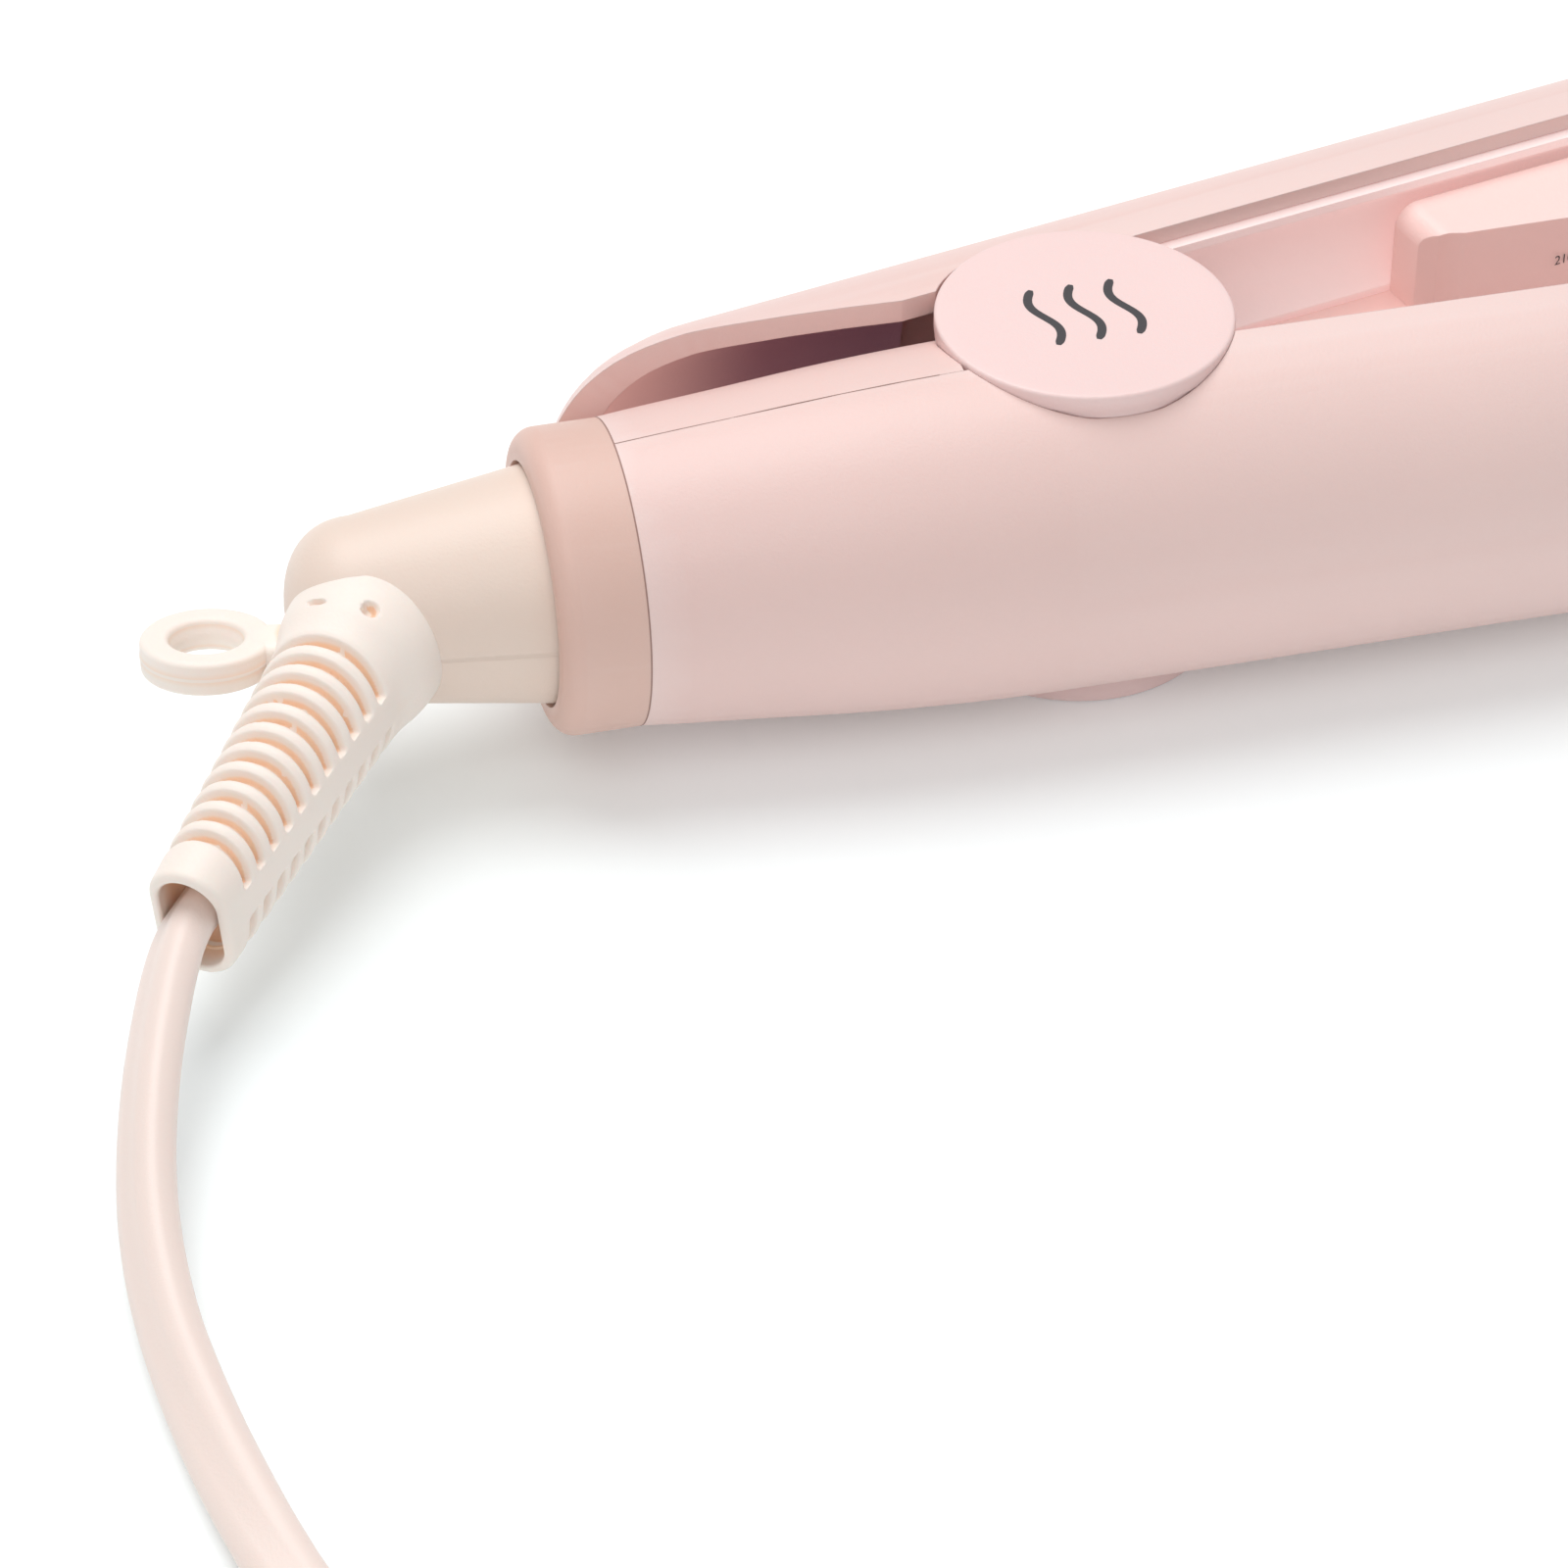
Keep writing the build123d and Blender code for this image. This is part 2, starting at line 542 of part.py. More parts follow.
def strain_relief():
    """Ball, ribbed body and hanging ring, moulded in one piece round the cord."""
    length = (RELIEF_TIP - BALL_CENTRE).length
    body = relief_body(0.0)
    core = relief_body(1.7)
    slots = Part()
    pitch = (length - RIBS_START - RIBS_END_MARGIN) / (RELIEF_RIBS - 1)
    for rib in range(RELIEF_RIBS):
        plane = relief_plane(RIBS_START + rib * pitch)
        slots += plane * Pos(0, 7.3, 0) * Box(20, 12, 1.1)
        slots += plane * Pos(0, -7.3, 0) * Box(20, 12, 1.1)
    body -= slots - core
    relief = body + Pos(*BALL_CENTRE) * Sphere(BALL_R)
    hole = ring_plane(RING_CENTRE) * Cylinder(RING_HOLE_R, RING_THICKNESS + 2)
    relief += ring_neck() + ring_plane(RING_CENTRE) * Cylinder(RING_R, RING_THICKNESS) - hole
    mouth = relief_plane(length - 1.2) * Box(RELIEF_TIP_SIZE[0] - 3, RELIEF_TIP_SIZE[1] - 3, 2.5)
    bore = relief_plane(length / 2 + 3) * Cylinder(CORD_R, length)
    return relief - mouth - bore


def cord_stub():
    """Cord inside the strain relief."""
    length = (RELIEF_TIP - BALL_CENTRE).length
    start, end = 3.0, length + 0.5
    return relief_plane((start + end) / 2) * Cylinder(CORD_R, end - start)


def contact_drum():
    """Insulating drum of the swivel contact, on the hub's front end."""
    drum = rod_x(AXIS_A, MID_Z, COLLAR_X - 1.2, COLLAR_X + 5.0, 8.0)
    plate = rod_x(AXIS_A, MID_Z, COLLAR_X - 1.2, COLLAR_X - 0.2, HUB_R - 1)
    return drum + plate


def contact_rings():
    """Two brass rings on the drum."""
    rings = []
    for x in (COLLAR_X + 0.8, COLLAR_X + 3.2):
        ring = rod_x(AXIS_A, MID_Z, x, x + 1.2, 8.6) - rod_x(AXIS_A, MID_Z, x - 1, x + 2.2, 8.0)
        rings.append(ring)
    return rings


def brush_block():
    """Fixed block that carries the two sprung contact brushes."""
    block_x1 = COLLAR_X + 9
    body = block(COLLAR_X + 6, block_x1, AXIS_A - 6, AXIS_A + 6, MID_Z - 11, MID_Z + 14)
    return body + block(COLLAR_X + 0.5, block_x1, AXIS_A - 4, AXIS_A + 4, MID_Z + 9.2, MID_Z + 13)


# ---------------------------------------------------------------- cord
def cord_points():
    """Route of the cord from the strain relief to the coil."""
    direction = (RELIEF_TIP - BALL_CENTRE).normalized()
    start = RELIEF_TIP + direction * 1.6
    return [
        (start.X, start.Y, start.Z),
        (-122.6, -60.5, 13.6),
        (-126.6, -73.5, 11.0),
        (-129.3, -87.0, 7.2),
        (-129.7, -101.0, 4.2),
        (-128.2, -115.5, 3.2),
        (-125.6, -130.5, 3.2),
        tuple(coil_entry() - coil_tangent(COIL_ENTRY_ANGLE) * (COIL_ENTRY_LEAD + 17.5)),
        tuple(coil_entry() - coil_tangent(COIL_ENTRY_ANGLE) * COIL_ENTRY_LEAD),
    ]


def coil_tangent(angle):
    """Direction of the clockwise turns at an angle round the coil."""
    return Vector(math.sin(math.radians(angle)), -math.cos(math.radians(angle)), 0)


def coil_place(angle, height):
    """Point on the coil's outer turn."""
    radius = COIL_R + COIL_PITCH * (COIL_COLUMNS - 1) / 2
    offset = Vector(math.cos(math.radians(angle)), math.sin(math.radians(angle)), 0) * radius
    return COIL_CENTRE + offset + Vector(0, 0, height)


def coil_entry():
    """Where the cord joins the bottom layer."""
    return coil_place(COIL_ENTRY_ANGLE, CORD_R)


def coil_exit():
    """Where the cord leaves the top layer for the plug."""
    return coil_place(COIL_EXIT_ANGLE, 1.5 * COIL_LAYER_PITCH)


def cord_tube():
    """Plain tube along the uncoiled stretch; prints its radii and length check."""
    points = [Vector(*point) for point in cord_points()]
    radii = []
    for before, here, after in zip(points, points[1:], points[2:]):
        turn = math.radians((here - before).get_angle(after - here))
        shorter = min((here - before).length, (after - here).length)
        radii.append(0.45 * shorter / math.tan(turn / 2))
    path = FilletPolyline(*points, radius=radii)
    tube = sweep(Plane(origin=path @ 0, z_dir=path % 0) * Circle(CORD_R), path=path)
    print("cord radii", [round(radius, 1) for radius in radii])
    print("tube volume / section x length", tube.volume / (math.pi * CORD_R**2 * path.length), path.length)
    return tube


def coil_lead(point, tangent, length):
    """Straight lead of the coil's solid, along the turns' direction at one end."""
    middle = point + tangent * (length / 2)
    plane = Plane(origin=middle, x_dir=tangent, z_dir=(0, 0, 1))
    return plane * Box(abs(length), CORD_WIDTH, 2 * CORD_R)


def cord_coil():
    """Outer shape of the tied coil, with its two leads."""
    height = COIL_LAYERS * COIL_LAYER_PITCH
    half_width = COIL_COLUMNS * COIL_PITCH / 2
    centre = COIL_CENTRE + Vector(0, 0, height / 2)
    ring = Pos(*centre) * (Cylinder(COIL_R + half_width, height) - Cylinder(COIL_R - half_width, height))
    ring += coil_lead(coil_entry(), coil_tangent(COIL_ENTRY_ANGLE), -COIL_ENTRY_LEAD)
    return ring + coil_lead(coil_exit(), coil_tangent(COIL_EXIT_ANGLE), COIL_EXIT_LEAD)


def plug_plane(distance):
    """Plane across the plug at a distance past the coil's exit lead."""
    tangent = coil_tangent(COIL_EXIT_ANGLE)
    origin = coil_exit() + tangent * (COIL_EXIT_LEAD + distance)
    return Plane(origin=origin, x_dir=tangent.cross(Vector(0, 0, 1)), z_dir=tangent)


def plug_body():
    """Moulded two-blade plug with its tapered cord end."""
    gland = loft([plug_plane(0) * Circle(4.2), plug_plane(16) * Circle(5.6)])
    shoulder = loft([plug_plane(16) * RectangleRounded(17, 13, 4), plug_plane(24) * RectangleRounded(24, 15, 5)])
    body = plug_plane(24) * extrude(RectangleRounded(24, 15, 5), 14)
    return gland + shoulder + body


def plug_blades():
    """Two flat blades."""
    blades = []
    for side in (-1, 1):
        blades.append(plug_plane(38 + 8.5) * Pos(side * 6.35, 0, 0) * Box(1.5, 6.3, 17))
    return blades


def coil_tie():
    """Tie round one side of the coil."""
    angle = math.radians(140)
    half_width = COIL_COLUMNS * COIL_PITCH / 2
    height = COIL_LAYERS * COIL_LAYER_PITCH
    origin = COIL_CENTRE + Vector(math.cos(angle), math.sin(angle), 0) * COIL_R + Vector(0, 0, height / 2)
    plane = Plane(origin=origin, x_dir=(math.cos(angle), math.sin(angle), 0), z_dir=(0, 0, 1))
    outer = Box(2 * half_width + 3, 7, height + 1.2)
    inner = Box(2 * half_width + 0.6, 9, height)
    band = plane * (Pos(0, 0, 0.6) * outer - inner)
    return band - block(-400, 0, -400, 0, -10, 0)


# ---------------------------------------------------------------- write the nodes
save("main_shell", main_shell())
save("rear_cover", rear_cover())
save("end_collar", end_collar())
save("inner_cover_a", inner_cover((14.0, 96.0), AXIS_A, 1))
save("tip_cap_a", tip_cap(AXIS_A, near=True))
save("plate_bed_a", plate_bed(AXIS_A, 1))
save("plate_a", heated_plate(1))
save("heater_a", heater(1))
save("float_pads_a", float_pads(1))
save("bed_screws_a", bed_screws(AXIS_A, 1))
save("thermal_fuse", thermal_fuse(1))
save("circuit_board", circuit_board())
save("board_parts", board_parts())
save("brush_block", brush_block())

save("hinge_disc_top", hinge_disc(True))
save("hinge_disc_bottom", hinge_disc(False))
save("hinge_frame_a", hinge_frame_a())
save("hinge_pin", hinge_pin())
save("hinge_spring", hinge_spring())

save("hinge_frame_b", hinge_frame_b(), opened=True)
save("arm_b_shell", arm_b_shell(), opened=True)
save("inner_cover_b", inner_cover((10.0, 96.0), AXIS_B, -1), opened=True)
save("tip_cap_b", tip_cap(AXIS_B, near=False), opened=True)
save("plate_bed_b", plate_bed(AXIS_B, -1), opened=True)
save("plate_b", heated_plate(-1), opened=True)
save("heater_b", heater(-1), opened=True)
save("float_pads_b", float_pads(-1), opened=True)
save("bed_screws_b", bed_screws(AXIS_B, -1), opened=True)
save("control_pod", control_pod(), opened=True)
save("control_board", control_board(), opened=True)
save("indicator_lenses", indicator_lenses(), opened=True)
for name, x in BUTTON_X.items():
    save(name, push_button(x), opened=True)

save("hub_upper", hub_half(True))
save("hub_lower", hub_half(False))
save("contact_drum", contact_drum())
save("contact_rings", contact_rings())
save("strain_relief", strain_relief())
save("cord_stub", cord_stub())

save("cord_tube", cord_tube())
save("cord_coil", cord_coil())
save("coil_tie", coil_tie())
save("plug_body", plug_body())
save("plug_blades", plug_blades())
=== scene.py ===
"""Looks for the hair straightener: materials, detailed meshes, cord, light and camera."""
import json
import math

import bpy
import bmesh
import numpy as np
from mathutils import Matrix, Vector


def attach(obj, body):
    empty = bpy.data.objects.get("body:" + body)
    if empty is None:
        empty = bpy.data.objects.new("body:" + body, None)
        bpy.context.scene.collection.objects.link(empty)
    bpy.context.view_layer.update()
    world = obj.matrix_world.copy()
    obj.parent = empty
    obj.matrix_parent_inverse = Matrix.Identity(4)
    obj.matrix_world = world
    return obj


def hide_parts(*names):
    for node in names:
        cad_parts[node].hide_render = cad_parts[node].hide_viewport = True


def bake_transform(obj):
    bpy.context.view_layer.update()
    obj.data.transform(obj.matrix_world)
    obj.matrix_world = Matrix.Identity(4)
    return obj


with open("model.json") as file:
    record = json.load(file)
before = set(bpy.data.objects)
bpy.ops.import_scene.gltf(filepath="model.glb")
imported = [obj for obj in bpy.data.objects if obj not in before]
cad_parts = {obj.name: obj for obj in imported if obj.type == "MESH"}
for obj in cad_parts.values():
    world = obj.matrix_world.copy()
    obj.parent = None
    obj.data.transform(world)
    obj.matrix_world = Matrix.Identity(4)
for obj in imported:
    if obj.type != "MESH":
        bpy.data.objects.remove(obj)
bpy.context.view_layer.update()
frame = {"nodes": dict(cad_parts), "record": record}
scene = bpy.context.scene


# ---------------------------------------------------------------- dimensions, in millimetres of the row frame
MM = 0.001
UP = Vector((0, 0, 1))
MID_Z = 22.5                    # height of both arms' axes
AXIS_A, AXIS_B = -7.5, 12.5     # Y of the arms' axes, arm B closed
OPEN_ANGLE = 12.5               # degrees that arm B stands open at rest
BODY_R = 22.0
MOTTLE = 0.035                  # share by which every plastic's colour drifts

BALL = Vector((-91.0, -14.0, 22.0))
BALL_R = 9.9
TIP = Vector((-118.0, -51.0, 15.0))
RELIEF_AXIS = (TIP - BALL).normalized()
RELIEF_SIDE = UP.cross(RELIEF_AXIS).normalized()
RELIEF_UP = RELIEF_AXIS.cross(RELIEF_SIDE).normalized()
RELIEF_LENGTH = (TIP - BALL).length
ROOT_WIDE, ROOT_TALL = 8.5, 9.2 # half sizes of the relief at its root and at its tip
TIP_WIDE, TIP_TALL = 4.9, 8.0
RIBS = 11
FIRST_RIB = 10.2
RIB_PITCH = 3.1
SLOT_ENDS = (3.2, -1.1)         # heights where the upper slots end and the lower ones begin
SLOT_LEAN = 0.3
DOME_HOLES = (((2.3, 3.0), (0.95, 0.95)), ((3.0, -3.7), (0.42, 1.15)))
LIP_R = 0.9

RING = Vector((-109.0, -10.6, 22.0))
RING_R, RING_HOLE_R, RING_HALF = 7.8, 4.4, 2.1
NECK_SHARE = 0.985              # neck's height as a share of the ring's
RING_UP = Vector((0.0463, 0.1851, 0.9816)).normalized()
RING_TURN = Matrix.Translation(RING) @ UP.rotation_difference(RING_UP).to_matrix().to_4x4()

HUB_R, HUB_END_R, HUB_END_X = 14.4, 11.2, -99.0
HUB_ROUND, HUB_POWER = 9.0, 0.86  # length and fullness of the hub's rounded end
COLLAR_X, COLLAR_LENGTH, COLLAR_R = -59.3, 10.2, 18.5
DISC_R, DISC_THICKNESS = 18.0, 3.0
NOSE_START, NOSE_LENGTH, NOSE_POWER = -38.0, 24.5, 2.6
TAIL_WALL, TAIL_NOSE_WALL = 3.0, 5.0
RIM_X, RIM_SLOPE = -18.0, 0.272
SHADE_SHEET_GAP, RIM_GAP = 0.06, 0.35  # from the tail's painted-shade sheet to the wall and to the rim
OPEN_TURN = Matrix.Rotation(math.radians(OPEN_ANGLE), 4, "Z")
POD_FACE, POD_RAMP_X = -1.5, 69.0

CORD_HALF_WIDTH, CORD_HALF_THICKNESS = 3.8, 2.6
COIL_CENTRE = Vector((-149.0, -206.0, 0))
COIL_R, COIL_COLUMNS, COIL_PITCH, COIL_LAYER_PITCH = 36.0, 4, 7.8, 5.4
COIL_ENTRY_ANGLE, COIL_EXIT_ANGLE = 22.0, -100.0
COIL_ENTRY_LEAD, COIL_EXIT_LEAD = 28.0, 32.0
OUTER_TURN_R = COIL_R + COIL_PITCH * (COIL_COLUMNS - 1) / 2
SHIFT_ANGLE = 60.0


# ---------------------------------------------------------------- materials
def new_material(name):
    material = bpy.data.materials.new(name)
    material.use_nodes = True
    return material, material.node_tree.nodes, material.node_tree.links


def plastic(name, colour, roughness=0.42, grain=0.00012, subsurface=0.06, wear=0.5, hollow=None,
            round_edges=0.00022, painted_glow=None):
    """Moulded plastic: fine grain, faint colour drift, worn and rounded edges, painted shade in hollows,
    optional painted light.
    """
    material, nodes, links = new_material(name)
    shader = nodes["Principled BSDF"]
    coordinates = nodes.new("ShaderNodeTexCoord")

    drift = nodes.new("ShaderNodeTexNoise")
    drift.inputs["Scale"].default_value = 22.0
    drift.inputs["Detail"].default_value = 3.0
    links.new(coordinates.outputs["Object"], drift.inputs["Vector"])
    tone = nodes.new("ShaderNodeMix")
    tone.data_type = "RGBA"
    light = [min(1.0, c * (1 + MOTTLE)) for c in colour]
    dark = [c * (1 - MOTTLE) for c in colour]
    tone.inputs[6].default_value = (*dark, 1)
    tone.inputs[7].default_value = (*light, 1)
    links.new(drift.outputs["Fac"], tone.inputs[0])

    geometry = nodes.new("ShaderNodeNewGeometry")
    edge = nodes.new("ShaderNodeMapRange")
    edge.inputs["From Min"].default_value = 0.54
    edge.inputs["From Max"].default_value = 0.62
    edge.inputs["To Max"].default_value = wear
    links.new(geometry.outputs["Pointiness"], edge.inputs["Value"])
    worn = nodes.new("ShaderNodeMix")
    worn.data_type = "RGBA"
    pale = [min(1.0, c * 0.75 + 0.25) for c in colour]
    worn.inputs[7].default_value = (*pale, 1)
    links.new(edge.outputs["Result"], worn.inputs[0])
    links.new(tone.outputs[2], worn.inputs[6])
    surface = worn.outputs[2]
    # Painted shade: hollows (low pointiness) take the hollow colour, as if they lay in shade.
    if hollow:
        depth = nodes.new("ShaderNodeMapRange")
        depth.inputs["From Min"].default_value = 0.50
        depth.inputs["From Max"].default_value = 0.475
        links.new(geometry.outputs["Pointiness"], depth.inputs["Value"])
        hollow_shade_mix = nodes.new("ShaderNodeMix")
        hollow_shade_mix.data_type = "RGBA"
        hollow_shade_mix.inputs[7].default_value = (*hollow, 1)
        links.new(depth.outputs["Result"], hollow_shade_mix.inputs[0])
        links.new(surface, hollow_shade_mix.inputs[6])
        surface = hollow_shade_mix.outputs[2]
    links.new(surface, shader.inputs["Base Color"])

    fine = nodes.new("ShaderNodeTexNoise")
    fine.inputs["Scale"].default_value = 2600.0
    fine.inputs["Detail"].default_value = 2.0
    links.new(coordinates.outputs["Object"], fine.inputs["Vector"])
    relief = nodes.new("ShaderNodeBump")
    relief.inputs["Strength"].default_value = 0.25
    relief.inputs["Distance"].default_value = grain
    links.new(fine.outputs["Fac"], relief.inputs["Height"])
    if round_edges:
        eased = nodes.new("ShaderNodeBevel")
        eased.samples = 4
        eased.inputs["Radius"].default_value = round_edges
        links.new(eased.outputs["Normal"], relief.inputs["Normal"])
    links.new(relief.outputs["Normal"], shader.inputs["Normal"])

    rough = nodes.new("ShaderNodeMapRange")
    rough.inputs["To Min"].default_value = roughness - 0.04
    rough.inputs["To Max"].default_value = roughness + 0.05
    links.new(drift.outputs["Fac"], rough.inputs["Value"])
    links.new(rough.outputs["Result"], shader.inputs["Roughness"])

    # Painted light: emission that stands in for fill light the lamps do not give.
    if painted_glow:
        shader.inputs["Emission Color"].default_value = (*painted_glow, 1)
        shader.inputs["Emission Strength"].default_value = 1.0
    shader.inputs["Subsurface Weight"].default_value = subsurface
    shader.inputs["Subsurface Scale"].default_value = 0.002
    shader.inputs["Subsurface Radius"].default_value = (1.0, 0.5, 0.4)
    shader.inputs["IOR"].default_value = 1.48
    return material


def metal(name, colour, roughness=0.3, stretch=(1.0, 1.0, 1.0)):
    """Metal with fine drawn lines and a roughness that varies a little."""
    material, nodes, links = new_material(name)
    shader = nodes["Principled BSDF"]
    shader.inputs["Base Color"].default_value = (*colour, 1)
    shader.inputs["Metallic"].default_value = 1.0
    coordinates = nodes.new("ShaderNodeTexCoord")
    mapping = nodes.new("ShaderNodeMapping")
    mapping.inputs["Scale"].default_value = stretch
    links.new(coordinates.outputs["Object"], mapping.inputs["Vector"])
    lines = nodes.new("ShaderNodeTexNoise")
    lines.inputs["Scale"].default_value = 900.0
    lines.inputs["Detail"].default_value = 4.0
    links.new(mapping.outputs["Vector"], lines.inputs["Vector"])
    rough = nodes.new("ShaderNodeMapRange")
    rough.inputs["To Min"].default_value = roughness - 0.08
    rough.inputs["To Max"].default_value = roughness + 0.1
    links.new(lines.outputs["Fac"], rough.inputs["Value"])
    links.new(rough.outputs["Result"], shader.inputs["Roughness"])
    relief = nodes.new("ShaderNodeBump")
    relief.inputs["Strength"].default_value = 0.15
    relief.inputs["Distance"].default_value = 0.0001
    links.new(lines.outputs["Fac"], relief.inputs["Height"])
    links.new(relief.outputs["Normal"], shader.inputs["Normal"])
    return material


LOOKS = {
    "shell_pink": plastic("shell_pink", (0.83, 0.60, 0.56)),
    "collar_beige": plastic("collar_beige", (0.74, 0.50, 0.43), roughness=0.46),
    "disc_pink": plastic("disc_pink", (0.88, 0.66, 0.64), roughness=0.38),
    "hub_cream": plastic("hub_cream", (0.82, 0.67, 0.58), roughness=0.42, round_edges=0),
    # The relief's hollow colour is painted shade in its slots, vents and mouth.
    "relief_peach": plastic("relief_peach", (0.93, 0.83, 0.76), roughness=0.5, subsurface=0.15, wear=0.2,
                            hollow=(0.94, 0.66, 0.47), round_edges=0),
    "cord_pink": plastic("cord_pink", (0.88, 0.74, 0.68), roughness=0.4, round_edges=0),
    # Painted light: the pod and the inner cover emit a little light, standing in for fill light on arm B's
    # inner side.
    "pod_pink": plastic("pod_pink", (0.86, 0.61, 0.57), roughness=0.35, painted_glow=(0.11, 0.06, 0.055)),
    "cover_painted_light": plastic("cover_painted_light", (0.90, 0.74, 0.72), roughness=0.42, painted_glow=(0.22, 0.16, 0.155)),
    # Painted shade: the tail's dark colour stands in for the shade inside the hollow tail.
    "tail_shade": plastic("tail_shade", (0.60, 0.42, 0.41), roughness=0.5),
    "seam_line": plastic("seam_line", (0.36, 0.21, 0.18), roughness=0.7, round_edges=0),
    "charcoal_print": plastic("charcoal_print", (0.05, 0.045, 0.05), roughness=0.55, grain=0.00004,
                              round_edges=0),
    "bed_rose": plastic("bed_rose", (0.55, 0.33, 0.31), roughness=0.5),
    "plate_rose": metal("plate_rose", (0.78, 0.57, 0.50), 0.28, (0.05, 1, 1)),
    "ceramic": plastic("ceramic", (0.8, 0.8, 0.78), roughness=0.6),
    "steel": metal("steel", (0.55, 0.55, 0.56), 0.35),
    "brass": metal("brass", (0.76, 0.58, 0.28), 0.3),
    "silicone": plastic("silicone", (0.75, 0.7, 0.67), roughness=0.5),
    "board": plastic("board", (0.08, 0.25, 0.12), roughness=0.4),
    "components": plastic("components", (0.05, 0.05, 0.05), roughness=0.4),
    "lens": plastic("lens", (0.9, 0.84, 0.8), roughness=0.15),
    "frame_grey": plastic("frame_grey", (0.06, 0.05, 0.055), roughness=0.55),
}


def shade_tail(material):
    """Painted light: emission that fades from the tail's nose towards the hinge."""
    nodes, links = material.node_tree.nodes, material.node_tree.links
    coordinates = nodes.new("ShaderNodeTexCoord")
    split = nodes.new("ShaderNodeSeparateXYZ")
    links.new(coordinates.outputs["Object"], split.inputs["Vector"])
    fade = nodes.new("ShaderNodeMapRange")
    fade.interpolation_type = "SMOOTHSTEP"
    fade.inputs["From Min"].default_value = -0.060
    fade.inputs["From Max"].default_value = -0.032
    links.new(split.outputs["X"], fade.inputs["Value"])
    painted_glow = nodes.new("ShaderNodeMix")
    painted_glow.data_type = "RGBA"
    painted_glow.inputs[6].default_value = (0.34, 0.20, 0.175, 1)
    painted_glow.inputs[7].default_value = (0.035, 0.013, 0.024, 1)
    links.new(fade.outputs["Result"], painted_glow.inputs[0])
    shader = nodes["Principled BSDF"]
    links.new(painted_glow.outputs[2], shader.inputs["Emission Color"])
    shader.inputs["Emission Strength"].default_value = 1.0


shade_tail(LOOKS["tail_shade"])
for entry in frame["record"]["subparts"]:
    node = frame["nodes"][entry["node"]]
    # The inner cover takes the look that carries painted light.
    look = "cover_painted_light" if entry["node"] == "inner_cover_b" else entry["material_slot"]
    node.data.materials.clear()
    node.data.materials.append(LOOKS[look])
    node.data.shade_smooth()
    node.data.set_sharp_from_angle(angle=math.radians(28))


# ---------------------------------------------------------------- mesh helpers
def mesh_piece(name, vertices, faces, look, body=None, sharp=35.0):
    """A mesh from points in millimetres of the row frame, with its look, and riding on its CAD body."""
    mesh = bpy.data.meshes.new(name)
    mesh.from_pydata([tuple(c * MM for c in v) for v in vertices], [], [tuple(f) for f in faces])
    work = bmesh.new()
    work.from_mesh(mesh)
    bmesh.ops.remove_doubles(work, verts=work.verts, dist=1e-6)
    bmesh.ops.recalc_face_normals(work, faces=work.faces)
    work.to_mesh(mesh)
    work.free()
    piece = bpy.data.objects.new(name, mesh)
    scene.collection.objects.link(piece)
    piece.data.shade_smooth()
    piece.data.set_sharp_from_angle(angle=math.radians(sharp))
    piece.data.materials.append(LOOKS[look])
    if body:
        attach(piece, body)
    return piece


def grid_faces(rows, columns, wrap=True, cap_start=False, cap_end=False):
    """Quads of a grid whose rows are rings, with fans of one face at the ends if asked."""
    faces = []
    last = columns if wrap else columns - 1
    for row in range(rows - 1):
        for column in range(last):
            following = (column + 1) % columns
            faces.append((row * columns + column, row * columns + following,
                          (row + 1) * columns + following, (row + 1) * columns + column))
    if cap_start:
        faces.append(tuple(reversed(range(columns))))
    if cap_end:
        faces.append(tuple((rows - 1) * columns + column for column in range(columns)))
    return faces


# ---------------------------------------------------------------- strain relief
def smooth(value):
    value = min(1.0, max(0.0, value))
    return value * value * (3 - 2 * value)


def relief_sizes(along):
    """Half-width and half-height of the strain relief at a distance from the ball's centre."""
    share = (along - 2.0) / (RELIEF_LENGTH - 2.0)
    wide = ROOT_WIDE + (TIP_WIDE - ROOT_WIDE) * share
    tall = ROOT_TALL + (TIP_TALL - ROOT_TALL) * share
    ball = math.sqrt(max(0.0, BALL_R ** 2 - along ** 2))
    if along < 0:
        return ball, ball
    soft = 0.7
    blended = [math.log(math.exp(size / soft) + math.exp(ball / soft)) * soft for size in (wide, tall)]
    ease = smooth(along / 4.0)
    sizes = [ball * (1 - ease) + size * ease if along < 4.0 else size for size in blended]
    return min(sizes[0], BALL_R), min(sizes[1], BALL_R)


def groove_depth(along, height):
    """Depth of the flex slots: long ones over the top and more underneath, half a pitch apart."""
    depth = 0.0
    upper, lower = SLOT_ENDS
    leaning = along + SLOT_LEAN * (height - upper)
    for shift, edge in ((0.0, smooth((height - upper) / 0.7)), (-0.5, smooth((lower - height) / 0.6))):
        place = (leaning - FIRST_RIB) / RIB_PITCH - shift
        nearest = min(max(round(place), 0), RIBS - 1)
        offset = (place - nearest) * RIB_PITCH
        wall = smooth((0.84 - abs(offset)) / 0.34)
        crown = 0.30 * smooth((1.55 - abs(offset)) / 1.2)
        depth = max(depth, edge * (1.45 * wall + crown))
    return depth


def hole_depth(along, point):
    """Two small vents on the dome, one round and one a slit."""
    depth = 0.0
    side = (point - BALL).dot(RELIEF_SIDE)
    if (point - BALL).dot(RELIEF_UP) < 0:
        return depth
    for (at, across), (half_along, half_across) in DOME_HOLES:
        away = math.hypot((along - at) / half_along, (side - across) / half_across)
        depth = max(depth, 1.4 * smooth((1.2 - away) / 0.5))
    return depth


